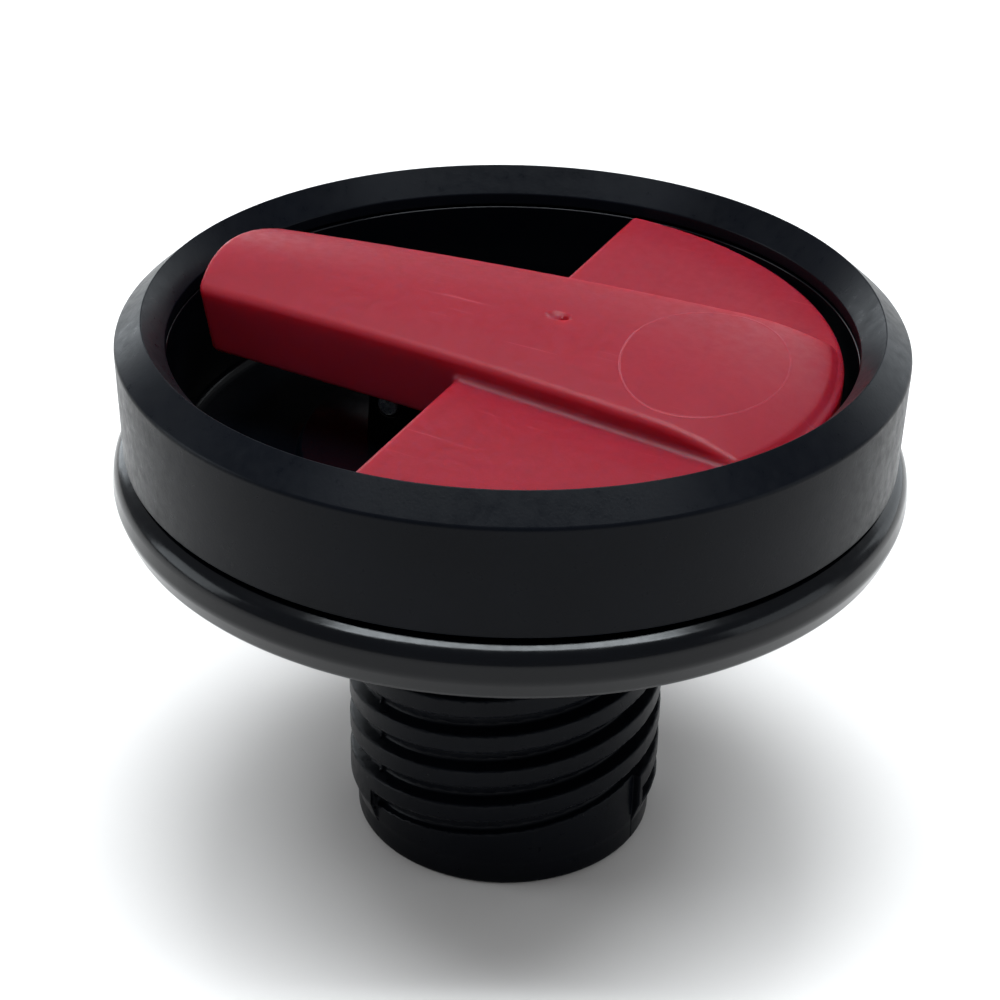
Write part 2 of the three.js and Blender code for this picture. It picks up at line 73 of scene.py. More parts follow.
def grown(name, depth, low, high, cell):
    """A moulded solid: its skin is where depth(x, y, z) is nought, below nought inside it."""
    axes = [np.arange(a - 2 * cell, b + 3 * cell, cell) for a, b in zip(low, high)]
    field = depth(*np.meshgrid(*axes, indexing="ij"))
    solid = field < 0
    shape = np.array(field.shape)
    corners = [np.array((i, j, k)) for i in (0, 1) for j in (0, 1) for k in (0, 1)]
    filled = sum(
        solid[i:shape[0] - 1 + i, j:shape[1] - 1 + j, k:shape[2] - 1 + k].astype(np.int8)
        for i, j, k in corners
    )
    mixed = (filled > 0) & (filled < 8)
    index = np.full(mixed.shape, -1)
    index[mixed] = np.arange(mixed.sum())
    cells = np.argwhere(mixed)
    total = np.zeros((len(cells), 3))
    hits = np.zeros(len(cells))
    for axis in range(3):
        step = np.eye(3, dtype=int)[axis]
        for corner in corners:
            if corner[axis]:
                continue
            start = cells + corner
            stop = start + step
            f0 = field[tuple(start.T)]
            f1 = field[tuple(stop.T)]
            crossed = (f0 < 0) != (f1 < 0)
            share = np.where(crossed, f0 / np.where(crossed, f0 - f1, 1), 0)
            total += np.where(crossed[:, None], start + share[:, None] * step, 0)
            hits += crossed
    origin = np.array([a[0] for a in axes])
    points = origin + total / hits[:, None] * cell
    reach = 0.02

    def slope(spots):
        rise = []
        for axis in range(3):
            step = reach * np.eye(3)[axis]
            rise.append(depth(*(spots + step).T) - depth(*(spots - step).T))
        return np.stack(rise, axis=1) / (2 * reach)

    for _ in range(3):
        grade = slope(points)
        size = np.maximum((grade ** 2).sum(axis=1), 0.05)
        move = depth(*points.T) / size
        shift = -move[:, None] * grade
        length = np.maximum(np.linalg.norm(shift, axis=1), 1e-9)
        points = points + shift * np.minimum(1, 0.6 * cell / length)[:, None]
    grade = slope(points)
    normals = grade / np.maximum(np.linalg.norm(grade, axis=1), 1e-9)[:, None]
    faces = []
    for axis in range(3):
        u, v = np.eye(3, dtype=int)[(axis + 1) % 3], np.eye(3, dtype=int)[(axis + 2) % 3]
        ahead = np.roll(solid, -1, axis=axis)
        changed = solid != ahead
        changed[(slice(None),) * axis + (-1,)] = False
        edges = np.argwhere(changed)
        outward = solid[tuple(edges.T)]
        ring = [edges - u - v, edges - v, edges, edges - u]
        quad = np.stack([index[tuple(c.T)] for c in ring], axis=1)
        quad[~outward] = quad[~outward][:, ::-1]
        faces.append(quad)
    return smooth_mesh(name, points, np.concatenate(faces).tolist(), normals)


def moulded(name, colour, roughness, grain_mm=0.09, grain_depth=0.004, shade=0.12, specular=0.5):
    """Moulded plastic: fine mould grain, slow drift of gloss and tone, and light rubbing."""
    made = bpy.data.materials.new(name)
    made.use_nodes = True
    nodes, links = made.node_tree.nodes, made.node_tree.links
    shader = nodes["Principled BSDF"]
    shader.inputs["Specular IOR Level"].default_value = specular
    place = nodes.new("ShaderNodeTexCoord")

    drift = nodes.new("ShaderNodeTexNoise")
    drift.inputs["Scale"].default_value = 90
    drift.inputs["Detail"].default_value = 3
    links.new(place.outputs["Object"], drift.inputs["Vector"])
    tone = nodes.new("ShaderNodeMix")
    tone.data_type = "RGBA"
    tone.inputs["A"].default_value = (*[c * (1 - shade) for c in colour], 1)
    tone.inputs["B"].default_value = (*[c * (1 + shade) for c in colour], 1)
    links.new(drift.outputs["Fac"], tone.inputs["Factor"])
    links.new(tone.outputs["Result"], shader.inputs["Base Color"])

    rub = nodes.new("ShaderNodeTexNoise")
    rub.inputs["Scale"].default_value = 700
    rub.inputs["Detail"].default_value = 5
    rub.inputs["Roughness"].default_value = 0.65
    links.new(place.outputs["Object"], rub.inputs["Vector"])
    gloss = nodes.new("ShaderNodeMapRange")
    gloss.inputs["From Min"].default_value = 0.3
    gloss.inputs["From Max"].default_value = 0.75
    gloss.inputs["To Min"].default_value = roughness * 0.8
    gloss.inputs["To Max"].default_value = roughness * 1.3
    links.new(rub.outputs["Fac"], gloss.inputs["Value"])
    links.new(gloss.outputs["Result"], shader.inputs["Roughness"])

    grain = nodes.new("ShaderNodeTexNoise")
    grain.inputs["Scale"].default_value = 1000 / (grain_mm * 2)
    grain.inputs["Detail"].default_value = 2
    links.new(place.outputs["Object"], grain.inputs["Vector"])
    bump = nodes.new("ShaderNodeBump")
    bump.inputs["Distance"].default_value = grain_depth * 0.001
    bump.inputs["Strength"].default_value = 0.6
    links.new(grain.outputs["Fac"], bump.inputs["Height"])
    links.new(bump.outputs["Normal"], shader.inputs["Normal"])
    return made


def fitted(piece, node, body, material):
    """Puts a finished piece on its body, in the place of its CAD node."""
    piece.data.materials.append(material)
    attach(piece, body)
    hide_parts(node)
    return piece


satin_black = moulded(
    "satin black polypropylene", (0.0018, 0.0024, 0.004), 0.32, 0.16, 0.014, shade=0.4, specular=0.072,
)

thread_radius = 18.8
thread_core = 17.0
thread_lead = 14.7
thread_pitch = 4.9
thread_first = 6.4
thread_last = 33.0
thread_start = np.radians(-122.3)
spigot_radius = 17.9


def stem_depth(x, y, z):
    r = np.hypot(x, y)
    turn = np.mod(np.arctan2(y, x) - thread_start, 2 * np.pi)
    taper = np.clip((z - 2.9) / 2.7, 0, 1)
    outer = r - (spigot_radius + (thread_radius - spigot_radius) * taper)
    outer = rounded_cut(outer, -z, 0.7)
    # grooves
    first = thread_first + thread_lead * turn / (2 * np.pi)
    along = np.round((z - first) / thread_pitch)
    along = np.maximum(along, np.ceil((thread_first - first) / thread_pitch - 1e-9))
    centre = first + along * thread_pitch
    half = 1.0 + 0.14 * (r - thread_core)
    wall = np.abs(z - centre) - half
    groove = rounded_cut(wall, thread_core - r, 0.3)
    groove = np.maximum(groove, (centre - thread_last) * 2.5)
    body = rounded_cut(outer, -groove, 0.22)
    # ridge turned away below the first groove
    sector = np.maximum(-turn * thread_radius, (turn - np.radians(117)) * thread_radius)
    relief = np.maximum(np.maximum(spigot_radius - r, z - first), sector)
    body = rounded_cut(body, -relief, 0.15)
    # parting lines
    for angle in (-121.3, 58.7):
        a = np.radians(angle)
        off = np.abs(-x * np.sin(a) + y * np.cos(a)) - 0.2
        facing = -(x * np.cos(a) + y * np.sin(a))
        rib = np.maximum.reduce([off, r - thread_core - 0.45, facing, thread_core - 0.5 - r, 7.5 - z, z - 33])
        body = rounded_union(body, rib, 0.1)
    # collar that carries the stem in the flange
    ring = rounded_cut(r - 22.2, np.abs(z - 47.25) - 0.85, 0.3)
    body = rounded_union(body, ring, 0.2)
    # ports
    port = rounded_cut(np.abs(y) - 6, np.abs(z - 39.2) - 3, 0.8)
    body = rounded_cut(body, -port, 0.25)
    # bore, with the ledge that stops the valve seat
    ledge = rounded_cut(14.2 - r, np.abs(z - 14.4) - 0.6, 0.2)
    bore = np.minimum(15.5 - r, ledge)
    body = rounded_cut(body, bore, 0.3)
    return np.maximum(body, z - 48.1)


stem = grown("threaded_stem_moulding", stem_depth, (-22.3, -22.3, 0), (22.3, 22.3, 48.2), 0.34)
fitted(stem, "threaded_stem", "stopper", satin_black)


# ---------------------------------------------------------------------------
# O-ring of the stem: grey silicone, stretched into a groove where the stem passes the flange. It keeps
# drink from creeping up between the two.
# ---------------------------------------------------------------------------
def turned(name, outline, sides=192):
    """A turned or moulded round piece from a closed outline of (radius, height, corner rounding)."""
    flat = np.array([(r, z) for r, z, _ in outline], float)
    ahead = np.roll(flat, -1, axis=0)
    if (flat[:, 0] * ahead[:, 1] - ahead[:, 0] * flat[:, 1]).sum() < 0:
        outline = outline[::-1]
        flat = flat[::-1]
    count = len(outline)
    profile = []
    for i in range(count):
        here, back, ahead = flat[i], flat[i - 1], flat[(i + 1) % count]
        u, v = back - here, ahead - here
        lu, lv = np.linalg.norm(u), np.linalg.norm(v)
        u, v = u / lu, v / lv
        into, out = np.array((-u[1], u[0])), np.array((v[1], -v[0]))
        if here[0] < 1e-6:
            profile.append((here, (0, into[1] if abs(into[1]) > abs(out[1]) else out[1])))
            continue
        half = np.arccos(np.clip(u @ v, -1, 1)) / 2
        if half > np.radians(89.5):
            profile.append((here, out))
            continue
        reach = min(outline[i][2] / np.tan(half), 0.48 * lu, 0.48 * lv)
        radius = reach * np.tan(half)
        centre = here + (u + v) / np.linalg.norm(u + v) * radius / np.sin(half)
        bulge = 1 if u[0] * v[1] - u[1] * v[0] < 0 else -1
        steps = 8 if radius > 0.5 else 4
        a0 = np.arctan2(*(here + u * reach - centre)[::-1])
        a1 = np.arctan2(*(here + v * reach - centre)[::-1])
        sweep = (a1 - a0 + np.pi) % (2 * np.pi) - np.pi
        for k in range(steps + 1):
            a = a0 + sweep * k / steps
            spoke = np.array((np.cos(a), np.sin(a)))
            profile.append((centre + radius * spoke, bulge * spoke))
    angle = 2 * np.pi * np.arange(sides) / sides
    points, normals, rows = [], [], []
    for (r, z), (nr, nz) in profile:
        if r < 1e-6:
            rows.append([len(points)] * sides)
            points.append((0, 0, z))
            normals.append((0, 0, 1 if nz > 0 else -1))
            continue
        rows.append(list(range(len(points), len(points) + sides)))
        points.extend(zip(r * np.cos(angle), r * np.sin(angle), np.full(sides, z)))
        normals.extend(zip(nr * np.cos(angle), nr * np.sin(angle), np.full(sides, nz)))
    faces = []
    for i, row in enumerate(rows):
        above = rows[(i + 1) % len(rows)]
        if row[0] == row[1] and above[0] == above[1]:
            continue
        for k in range(sides):
            n = (k + 1) % sides
            face = [row[k], row[n], above[n], above[k]]
            faces.append([p for j, p in enumerate(face) if p != face[j - 1]])
    return smooth_mesh(name, np.array(points, float), faces, np.array(normals, float))


silicone = moulded("grey silicone", (0.46, 0.48, 0.48), 0.55, grain_mm=0.2, grain_depth=0.003, shade=0.05)
seal_outline = [
    (18.35 + 0.45 * np.cos(a), 45.3 + 0.39 * np.sin(a), 0.05)
    for a in np.linspace(0, 2 * np.pi, 16, endpoint=False)
]
fitted(turned("stem_o_ring", seal_outline), "stem_seal_ring", "stopper", silicone)


# ---------------------------------------------------------------------------
# Valve seat: a bush of uncoloured acetal pushed up against the stem's ledge. Its raised lip round the
# hole is what the seal closes on.
# ---------------------------------------------------------------------------
natural = moulded("uncoloured acetal", (0.69, 0.68, 0.61), 0.38, grain_mm=0.15, grain_depth=0.003, shade=0.04)
seat = turned("valve_seat_bush", [
    (8.0, 13.5, 0.3), (8.0, 10.3, 0.4), (9.4, 10.3, 0.4), (9.9, 11.0, 0.2), (15.2, 11.0, 0.3),
    (15.2, 13.5, 0.3),
])
fitted(seat, "valve_seat", "stopper", natural)


# ---------------------------------------------------------------------------
# Foam sleeve and liner: closed-cell foam between the stem and a thin inner tube keeps the drink's heat
# off the thread. The tube's flange closes the foam off at the top.
# ---------------------------------------------------------------------------
def foam_material():
    made = moulded("closed-cell foam", (0.86, 0.85, 0.8), 0.85, grain_mm=0.5, grain_depth=0.05, shade=0.05)
    nodes, links = made.node_tree.nodes, made.node_tree.links
    cells = nodes.new("ShaderNodeTexVoronoi")
    cells.inputs["Scale"].default_value = 1400
    links.new(nodes["Texture Coordinate"].outputs["Object"], cells.inputs["Vector"])
    links.new(cells.outputs["Distance"], nodes["Bump"].inputs["Height"])
    return made


sleeve = turned("foam_sleeve_tube", [
    (12.9, 15.3, 0.3), (15.2, 15.3, 0.3), (15.2, 34.0, 0.3), (12.9, 34.0, 0.3),
])
fitted(sleeve, "foam_sleeve", "stopper", foam_material())
liner = turned("stem_liner_tube", [
    (11.4, 13.8, 0.2), (12.6, 13.8, 0.3), (12.6, 34.3, 0.3), (15.2, 34.3, 0.2), (15.2, 35.3, 0.3),
    (11.4, 35.3, 0.4), (11.4, 21.7, 0.15), (10.3, 21.7, 0.2), (10.3, 20.5, 0.2), (11.4, 20.5, 0.15),
])
fitted(liner, "stem_liner", "stopper", natural)


# ---------------------------------------------------------------------------
# Rod guide: a three-spoked spider that drops onto the liner's ledge. Its hub keeps the rod straight
# and carries the spring's lower end.
# ---------------------------------------------------------------------------
def guide_depth(x, y, z):
    r = np.hypot(x, y)
    low = 22 - z
    hub = rounded_cut(r - 6.2, z - 26, 0.4)
    rim = rounded_cut(np.abs(r - 10.5) - 0.6, z - 25, 0.3)
    body = np.minimum(hub, rim)
    for k in range(3):
        a = 2 * np.pi * k / 3
        along = x * np.cos(a) + y * np.sin(a)
        off = np.abs(-x * np.sin(a) + y * np.cos(a)) - 1
        spoke = np.maximum.reduce([rounded_cut(off, z - 24.5, 0.3), -along, r - 10.5])
        body = rounded_union(body, spoke, 0.5)
    body = rounded_cut(body, low, 0.2)
    return rounded_cut(body, 2.8 - r, 0.2)


guide = grown("rod_guide_spider", guide_depth, (-11.2, -11.2, 22), (11.2, 11.2, 26), 0.24)
fitted(guide, "rod_guide", "stopper", natural)


# ---------------------------------------------------------------------------
# Return spring: six turns of 0.9 mm stainless wire, ends closed. It stands on the guide's hub and lifts
# the cap on the rod, so it closes the valve when the lever is let go.
# ---------------------------------------------------------------------------
def drawn_steel():
    """Bright drawn wire: fine lines along the surface and a faint change of gloss."""
    made = bpy.data.materials.new("bright stainless steel")
    made.use_nodes = True
    nodes, links = made.node_tree.nodes, made.node_tree.links
    shader = nodes["Principled BSDF"]
    shader.inputs["Metallic"].default_value = 1
    place = nodes.new("ShaderNodeTexCoord")
    lines = nodes.new("ShaderNodeTexNoise")
    lines.inputs["Scale"].default_value = 4000
    lines.inputs["Detail"].default_value = 4
    links.new(place.outputs["Object"], lines.inputs["Vector"])
    tone = nodes.new("ShaderNodeMix")
    tone.data_type = "RGBA"
    tone.inputs["A"].default_value = (0.5, 0.5, 0.51, 1)
    tone.inputs["B"].default_value = (0.66, 0.66, 0.66, 1)
    links.new(lines.outputs["Fac"], tone.inputs["Factor"])
    links.new(tone.outputs["Result"], shader.inputs["Base Color"])
    gloss = nodes.new("ShaderNodeMapRange")
    gloss.inputs["To Min"].default_value = 0.2
    gloss.inputs["To Max"].default_value = 0.36
    links.new(lines.outputs["Fac"], gloss.inputs["Value"])
    links.new(gloss.outputs["Result"], shader.inputs["Roughness"])
    bump = nodes.new("ShaderNodeBump")
    bump.inputs["Distance"].default_value = 0.000003
    links.new(lines.outputs["Fac"], bump.inputs["Height"])
    links.new(bump.outputs["Normal"], shader.inputs["Normal"])
    return made


def coil(name, radius, wire, foot, top, turns):
    """Round wire wound on a helix, with flat-capped ends and flattened first and last turns."""
    steps = 40 * turns
    points, normals = [], []
    for i in range(steps + 1):
        t = i / steps
        a = 2 * np.pi * turns * t
        ease = np.clip((t * turns - 0.75) / (turns - 1.5), 0, 1)
        z = foot + wire + (top - foot - 2 * wire) * (0.86 * ease + 0.14 * t)
        for k in range(12):
            b = 2 * np.pi * k / 12
            nr, nz = np.cos(b), np.sin(b)
            points.append(((radius + wire * nr) * np.cos(a), (radius + wire * nr) * np.sin(a), z + wire * nz))
            normals.append((nr * np.cos(a), nr * np.sin(a), nz))
    faces = []
    for i in range(steps):
        for k in range(12):
            n = (k + 1) % 12
            faces.append([12 * i + k, 12 * (i + 1) + k, 12 * (i + 1) + n, 12 * i + n])
    faces.append(list(range(12)))
    faces.append([12 * steps + 11 - k for k in range(12)])
    return smooth_mesh(name, np.array(points), faces, np.array(normals))


steel = drawn_steel()
spring = coil("return_spring_wire", 5.2, 0.45, 26.3, 41.65, 6)
fitted(spring, "return_spring", "stopper", steel)
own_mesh(spring)


# ---------------------------------------------------------------------------
# Valve rod with what it carries: a spring cap above, and below it the disc with its silicone seal, held
# by a steel clip. All of them move up and down together.
# ---------------------------------------------------------------------------
rod = turned("valve_rod_shaft", [(0, 5.2, 0), (2.5, 5.2, 0.5), (2.5, 56, 0.5), (0, 56, 0)], 64)
fitted(rod, "valve_rod", "valve", natural)
cap = turned("spring_cap_cup", [
    (2.8, 42.0, 0.1), (6.6, 42.0, 0.3), (6.6, 42.9, 0.5), (4.4, 44.0, 0.5), (2.8, 44.0, 0.2),
], 96)
fitted(cap, "spring_cap", "valve", natural)
disc = turned("valve_disc_plate", [
    (2.8, 6.6, 0.2), (10.6, 6.6, 0.5), (11.0, 7.4, 0.5), (11.0, 8.6, 0.3), (2.8, 8.6, 0.2),
])
fitted(disc, "valve_disc", "valve", natural)
seal = turned("valve_seal_washer", [(2.8, 8.9, 0.1), (11.5, 8.9, 0.3), (11.5, 10.0, 0.3), (2.8, 10.0, 0.1)])
fitted(seal, "valve_seal", "valve", silicone)


def clip_depth(x, y, z):
    r = np.hypot(x, y)
    body = np.maximum(np.abs(r - 3.9) - 1.1, np.maximum(5.7 - z, z - 6.3))
    mouth = np.maximum(np.abs(y) - 1.2, -x)
    body = rounded_cut(body, -mouth, 0.1)
    for a in (np.radians(120), np.radians(240)):
        bite = np.hypot(x - 4.2 * np.cos(a), y - 4.2 * np.sin(a)) - 0.5
        body = rounded_cut(body, -bite, 0.1)
    return body


clip = grown("disc_clip_ring", clip_depth, (-5, -5, 5.7), (5, 5, 6.3), 0.12)
fitted(clip, "disc_clip", "valve", steel)


# ---------------------------------------------------------------------------
# Flange: polished black moulding with a heavy rounded bead round its edge. It carries the stem through
# the hole in its middle and bears on the flask's neck.
# ---------------------------------------------------------------------------
gloss_black = moulded("polished black", (0.001, 0.0014, 0.0024), 0.17, 0.6, 0.012, specular=0.19)
flange = turned("flange_bead_body", [
    (19.1, 44.5, 0.2), (44.0, 44.5, 1.5), (45.02, 47.3, 2.0), (44.8, 49.4, 2.4), (44.25, 50.3, 3.0),
    (43.2, 50.98, 0.5), (41.2, 50.98, 0.3), (41.2, 46.1, 0.5), (19.1, 46.1, 0.2),
], 288)
fitted(flange, "flange_body", "stopper", gloss_black)


# ---------------------------------------------------------------------------
# Neck gasket: a flat grey silicone washer below the flange, round the stem. It seals on the flask's
# neck when the stopper is screwed down.
# ---------------------------------------------------------------------------
gasket = turned("neck_gasket_washer", [
    (19.1, 42.6, 0.3), (25.5, 42.6, 0.5), (25.5, 44.2, 0.4), (19.1, 44.2, 0.3),
])
fitted(gasket, "neck_gasket", "stopper", silicone)


# ---------------------------------------------------------------------------
# Bowl: polished black cup that plugs into the flange. The middle of its floor is raised over the stem's
# collar, a boss takes the rod's wiper, and two moulded eyes carry the lever's pin.
# ---------------------------------------------------------------------------
bowl = turned("bowl_cup", [
    (2.8, 47.0, 0.1), (8.2, 47.0, 0.6), (8.2, 48.4, 0.3), (22.5, 48.4, 0.3), (22.5, 46.9, 0.3),
    (40.9, 46.9, 0.8), (40.9, 53.1, 0.3), (41.9, 53.1, 0.2), (41.9, 54.3, 0.4), (39.9, 54.3, 0.3),
    (39.9, 62.4, 0.2), (38.3, 62.4, 0.2), (38.3, 48.5, 1.4), (24.1, 48.5, 0.5), (24.1, 50.0, 0.4),
    (8.2, 50.0, 0.4), (8.2, 51.2, 0.3), (5.8, 51.2, 0.2), (5.8, 48.6, 0.2), (2.8, 48.6, 0.1),
], 288)
fitted(bowl, "bowl", "stopper", gloss_black)


pivot_x = -12
pivot_z = 55
pin_bore = 1.6
eye_radius = 2.6
eye_middle = 5.7
eye_half_width = 1.3


def eye_depth(x, y, z):
    from_pivot = np.hypot(x - pivot_x, z - pivot_z)
    ring = from_pivot - eye_radius
    draft = 0.06 * np.maximum(pivot_z - z, 0)
    post = np.maximum(np.abs(x - pivot_x) - eye_radius - draft, z - pivot_z)
    body = np.minimum(ring, post)
    body = rounded_cut(body, np.abs(np.abs(y) - eye_middle) - eye_half_width, 0.3)
    body = rounded_cut(body, 49.6 - z, 0.05)
    return rounded_cut(body, pin_bore - from_pivot, 0.15)


for side, label in ((-1, "front"), (1, "back")):
    low = (-15.2, min(side * 4.3, side * 7.1), 49.6)
    high = (-8.8, max(side * 4.3, side * 7.1), 57.7)
    eye = grown(f"pivot_eye_{label}", eye_depth, low, high, 0.16)
    fitted(eye, "bowl", "stopper", gloss_black)


# ---------------------------------------------------------------------------
# Rod wiper and its retainer: a silicone ring in the boss, held down by a snapped-in black bush. It
# keeps drink out of the bowl where the rod passes the floor.
# ---------------------------------------------------------------------------
wiper = turned("rod_wiper_ring", [(2.8, 48.9, 0.1), (5.5, 48.9, 0.3), (5.5, 50.3, 0.3), (2.8, 50.3, 0.1)], 96)
fitted(wiper, "rod_wiper", "stopper", silicone)
retainer = turned("wiper_retainer_bush", [
    (3.1, 50.6, 0.1), (5.5, 50.6, 0.2), (5.5, 51.5, 0.1), (7.8, 51.5, 0.2), (7.8, 52.2, 0.3),
    (3.1, 52.2, 0.3),
], 128)
fitted(retainer, "wiper_retainer", "stopper", satin_black)


# ---------------------------------------------------------------------------
# Grip collar: satin black ring snapped over the bowl. Its rim comes to a crisp crest between a wide
# outer chamfer and an inner bevel that runs down into the bowl.
# ---------------------------------------------------------------------------
collar = turned("grip_collar_ring", [
    (43.6, 51.7, 0.25), (43.9, 64.3, 0.7), (40.85, 67.0, 0.14), (38.35, 64.1, 0.35), (38.3, 62.7, 0.2),
    (41.4, 62.7, 0.3), (42.2, 61.9, 0.3), (42.2, 52.8, 0.2), (41.5, 52.2, 0.1), (41.5, 51.7, 0.15),
], 288)
fitted(collar, "outer_collar", "stopper", satin_black)


# ---------------------------------------------------------------------------
# Push button: acetal cap on top of the rod, domed where the lever's bar slides on it. It goes up and
# down with the rod.
# ---------------------------------------------------------------------------
button = turned("rod_button_cap", [
    (0, 57.6, 0), (2.6, 57.3, 2.0), (4.7, 56.5, 1.2), (5.5, 55.6, 0.6), (5.5, 55.0, 0.3), (2.8, 55.0, 0.1),
    (2.8, 56.3, 0.1), (0, 56.3, 0),
], 128)
fitted(button, "rod_button", "valve", natural)


# ---------------------------------------------------------------------------
# Pivot pin: a plain stainless pin with rounded ends, through both eyes and the lever's knuckle. It
# stays still in the eyes, and the lever turns on it.
# ---------------------------------------------------------------------------
pin_radius = 1.3
pin_half_length = 7.4


def pin_depth(x, y, z):
    return rounded_cut(np.hypot(x - pivot_x, z - pivot_z) - pin_radius, np.abs(y) - pin_half_length, 0.35)


pin = grown("pivot_pin_shaft", pin_depth, (-13.4, -7.5, 53.6), (-10.6, 7.5, 56.4), 0.13)
fitted(pin, "pivot_pin", "stopper", steel)


# ---------------------------------------------------------------------------
# Rocking lever: one deep red moulding. A crowned finger bar widens towards the thumb end, where it
# sinks into a half-round plate and carries a shallow oval thumb dish. The gate mark is on its crest.
# ---------------------------------------------------------------------------
bar_half_width = 12.4
bar_taper = 0.0887  # half width gained per millimetre towards the thumb
bar_underside = 58
bar_end_radius = 36.6
plate_radius = 36.7
plate_height = 63.4
plate_underside = 61.0
plate_slope = 0.040
dish_middle = 22.8
dish_half_length = 8.6
dish_half_width = 12.5
lever_wall = 2.2
knuckle_radius = 2.8
knuckle_half_width = 4


def lever_depth(x, y, z):
    across = np.abs(y)
    r = np.hypot(x, y)
    ridge = bar_half_width + bar_taper * x
    share = np.minimum(across / ridge, 1.15)
    fall = np.maximum(0, (x - 22) / 14.7)
    crest = 67.18 - 0.0318 * x - 0.0007 * x ** 2 - 3.0 * fall ** 2
    crown = (1.53 - 0.0138 * x) * share ** 2
    oval = ((x - dish_middle) / dish_half_length) ** 2 + (y / dish_half_width) ** 2
    dish = 0.14 * np.maximum(0, 1 - oval)
    gate = 0.35 * np.clip(1.3 - ((x - 5.5) / 1.3) ** 2 - (y / 0.95) ** 2, 0, 1)
    gate = gate + 0.8 * np.clip(1.5 - ((x - 6.1) / 0.5) ** 2 - (y / 0.5) ** 2, 0, 1)
    top = z - (crest - crown - dish - gate)
    side = across - ridge - 0.012 * (66 - z)
    end = (r - bar_end_radius - 0.211 * (z - 66.5)) * 0.978
    bar = rounded_cut(rounded_cut(top, side, 0.8), end, 0.8)
    bar = rounded_cut(bar, bar_underside + 0.1 * np.maximum(0, x - 10) - z, 0.35)
    plate_top = z - (plate_height - plate_slope * x)
    plate = rounded_cut(plate_top, r - plate_radius, 0.5)
    plate = rounded_cut(plate, -0.95 - x, 0.55)
    plate = rounded_cut(plate, (plate_underside - plate_slope * x) - z, 0.4)
    body = rounded_union(bar, plate, 0.8)
    # pockets moulded from below, so that the bar has an even wall
    inner = np.maximum(across - ridge + lever_wall, z - (crest - crown) + lever_wall)
    finger = np.maximum(inner, np.maximum(-32.1 - x, x + 16.2))
    thumb = np.maximum(inner, np.maximum(7.5 - x, x - 25.8))
    body = rounded_cut(body, -rounded_cut(finger, finger, 0.1), 0.3)
    body = rounded_cut(body, -thumb, 0.3)
    # knuckle that turns on the pin
    pivot = np.hypot(x - pivot_x, z - pivot_z)
    web = np.maximum(np.abs(x - pivot_x) - knuckle_radius, np.maximum(pivot_z - z, z - 59))
    knuckle = rounded_cut(np.minimum(pivot - knuckle_radius, web), across - knuckle_half_width, 0.3)
    body = rounded_union(body, knuckle, 0.4)
    return rounded_cut(body, pin_bore - np.where(z < 57.5, pivot, 9), 0.15)


def lever_red():
    """Deep red satin plastic, slightly translucent, with a fine groove round the dish painted paler as a
    highlight, and light scuffs.
    """
    made = moulded("deep red moulding", (0.185, 0.0045, 0.013), 0.44, 0.14, 0.01, shade=0.09, specular=0.21)
    nodes, links = made.node_tree.nodes, made.node_tree.links
    place = nodes["Texture Coordinate"]
    shader = nodes["Principled BSDF"]
    shader.inputs["Subsurface Weight"].default_value = 1
    shader.inputs["Subsurface Radius"].default_value = (1, 0.05, 0.05)
    shader.inputs["Subsurface Scale"].default_value = 0.009

    def math(kind, a, b=None):
        node = nodes.new("ShaderNodeMath")
        node.operation = kind
        for socket, value in zip(node.inputs, (a, b)):
            if isinstance(value, (int, float)):
                socket.default_value = value
            elif value is not None:
                links.new(value, socket)
        return node

    # fine ring round the dish: a shallow groove in the bump, also painted paler as a highlight on the dish
    # edge
    oval = nodes.new("ShaderNodeMapping")
    oval.inputs["Location"].default_value = (-dish_middle / dish_half_length, 0, 0)
    oval.inputs["Scale"].default_value = (1000 / dish_half_length, 1000 / dish_half_width, 0)
    links.new(place.outputs["Object"], oval.inputs["Vector"])
    reach = nodes.new("ShaderNodeVectorMath")
    reach.operation = "LENGTH"
    links.new(oval.outputs["Vector"], reach.inputs[0])
    off = math("ABSOLUTE", math("SUBTRACT", reach.outputs["Value"], 1.0).outputs[0])
    line = nodes.new("ShaderNodeMapRange")
    line.interpolation_type = "SMOOTHSTEP"
    line.inputs["From Min"].default_value = 0.004
    line.inputs["From Max"].default_value = 0.016
    line.inputs["To Min"].default_value = 1
    line.inputs["To Max"].default_value = 0
    links.new(off.outputs[0], line.inputs["Value"])

    stretch = nodes.new("ShaderNodeMapping")
    stretch.inputs["Scale"].default_value = (60, 1500, 60)
    links.new(place.outputs["Object"], stretch.inputs["Vector"])
    scuff = nodes.new("ShaderNodeTexNoise")
    scuff.inputs["Scale"].default_value = 1
    scuff.inputs["Detail"].default_value = 4
    links.new(stretch.outputs["Vector"], scuff.inputs["Vector"])
    mark = nodes.new("ShaderNodeMapRange")
    mark.inputs["From Min"].default_value = 0.66
    mark.inputs["From Max"].default_value = 0.74
    mark.inputs["To Max"].default_value = 0.35
    links.new(scuff.outputs["Fac"], mark.inputs["Value"])
    # the scuffs are real wear; the ring round the dish added here is a painted highlight
    scuffs_and_rim_highlight = math("MAXIMUM", mark.outputs["Result"], math("MULTIPLY", line.outputs["Result"], 0.28).outputs[0])

    paler = nodes.new("ShaderNodeMix")
    paler.data_type = "RGBA"
    paler.inputs["B"].default_value = (0.34, 0.06, 0.085, 1)
    links.new(scuffs_and_rim_highlight.outputs[0], paler.inputs["Factor"])
    links.new(nodes["Mix"].outputs["Result"], paler.inputs["A"])
    links.new(paler.outputs["Result"], shader.inputs["Base Color"])
    groove = nodes.new("ShaderNodeBump")
    groove.inputs["Distance"].default_value = 0.00006
    links.new(line.outputs["Result"], groove.inputs["Height"])
    links.new(nodes["Bump"].outputs["Normal"], groove.inputs["Normal"])
    links.new(groove.outputs["Normal"], shader.inputs["Normal"])
    return made


red = lever_red()
lever = grown("rocker_lever_moulding", lever_depth, (-36.8, -36.8, 52.1), (36.8, 36.8, 67.7), 0.36)
fitted(lever, "rocker_lever", "lever", red)


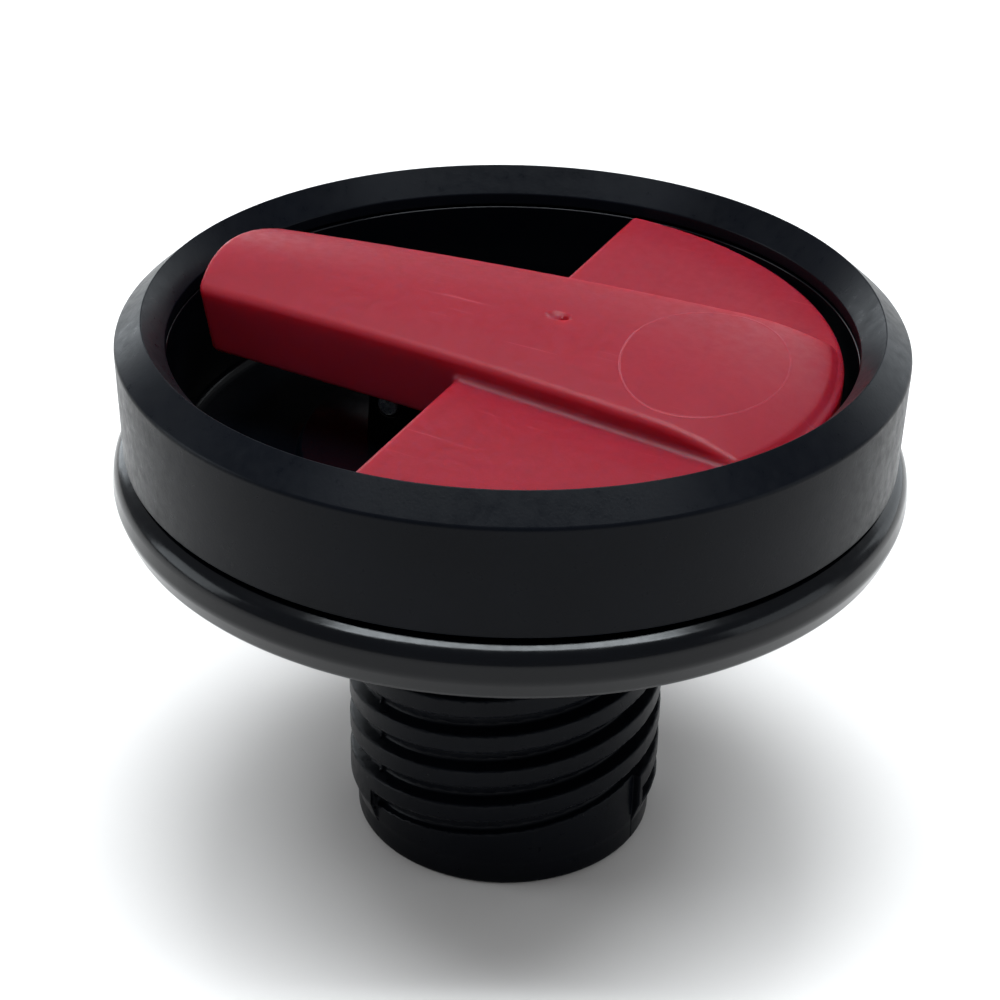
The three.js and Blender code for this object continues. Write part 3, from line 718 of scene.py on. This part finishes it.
# ---------------------------------------------------------------------------
# Studio: a pale seamless floor, soft lights above, two low panels behind, a low fill from each side,
# and the camera above the front of the stopper.
# ---------------------------------------------------------------------------
def floor_sheet():
    size = 6.0
    mesh = bpy.data.meshes.new("studio_floor")
    corners = [(-size, -size, 0), (size, -size, 0), (size, size, 0), (-size, size, 0)]
    mesh.from_pydata(corners, [], [(0, 1, 2, 3)])
    made = bpy.data.objects.new("studio_floor", mesh)
    bpy.context.scene.collection.objects.link(made)
    return made


floor = floor_sheet()
paper = moulded("pale paper", (0.83, 0.79, 0.76), 0.9, 0.5, 0.01, shade=0.01, specular=0.1)
floor.data.materials.append(paper)

world = bpy.data.worlds.new("studio")
world.use_nodes = True
world.node_tree.nodes["Background"].inputs["Color"].default_value = (0.93, 0.96, 1, 1)
world.node_tree.nodes["Background"].inputs["Strength"].default_value = 0.3
bpy.context.scene.world = world


def softbox(name, place, width, height, power):
    """A rectangular soft light that faces the stopper."""
    data = bpy.data.lights.new(name, "AREA")
    data.shape = "RECTANGLE"
    data.size = width
    data.size_y = height
    data.energy = power
    data.color = (0.88, 0.95, 1)
    made = bpy.data.objects.new(name, data)
    made.location = place
    aim = Vector((0, 0, 0.05)) - Vector(place)
    made.rotation_euler = aim.to_track_quat("-Z", "Y").to_euler()
    bpy.context.scene.collection.objects.link(made)


softbox("overhead_key", (-0.11, 0.23, 0.94), 0.5, 0.3, 5.5)
softbox("front_strip", (0.06, -0.13, 0.938), 1.0, 0.15, 10.5)
softbox("back_left", (-0.95, 0.8, 0.22), 0.8, 0.4, 3.6)
softbox("back_right", (0.25, 1.2, 0.3), 1.2, 0.6, 4.2)
softbox("left_fill", (-0.95, -0.35, 0.35), 0.5, 0.5, 2.4)
softbox("right_fill", (0.95, 0.2, 0.25), 0.6, 0.5, 1.4)

bearing = np.radians(24.73)
tilt = np.radians(30.113)
aside = np.radians(-0.263)
lean = np.radians(1.1515)
away = np.array((-np.sin(bearing), np.cos(bearing), 0))
across = np.array((np.cos(bearing), np.sin(bearing), 0))
up = np.array((0, 0, 1.0))
rise = np.radians(25.4366)
distance = 0.264
rim_height = 0.067
spot = rim_height * up + distance * (-np.cos(rise) * away + np.sin(rise) * up)
ahead = np.cos(tilt) * (np.cos(aside) * away + np.sin(aside) * across) - np.sin(tilt) * up
right = np.cross(ahead, up)
right /= np.linalg.norm(right)
over = np.cross(right, ahead)
leaned_right = right * np.cos(lean) + over * np.sin(lean)
leaned_over = over * np.cos(lean) - right * np.sin(lean)
camera_data = bpy.data.cameras.new("camera")
camera_data.sensor_width = 36
camera_data.lens = 85.85
camera_data.clip_start = 0.01
camera = bpy.data.objects.new("camera", camera_data)
placed = Matrix([[*row, 0] for row in np.stack([leaned_right, leaned_over, -ahead], axis=1)] + [[0, 0, 0, 1]])
placed.translation = Vector(spot)
camera.matrix_world = placed
bpy.context.scene.collection.objects.link(camera)
bpy.context.scene.camera = camera
bpy.context.scene.view_settings.view_transform = "Standard"
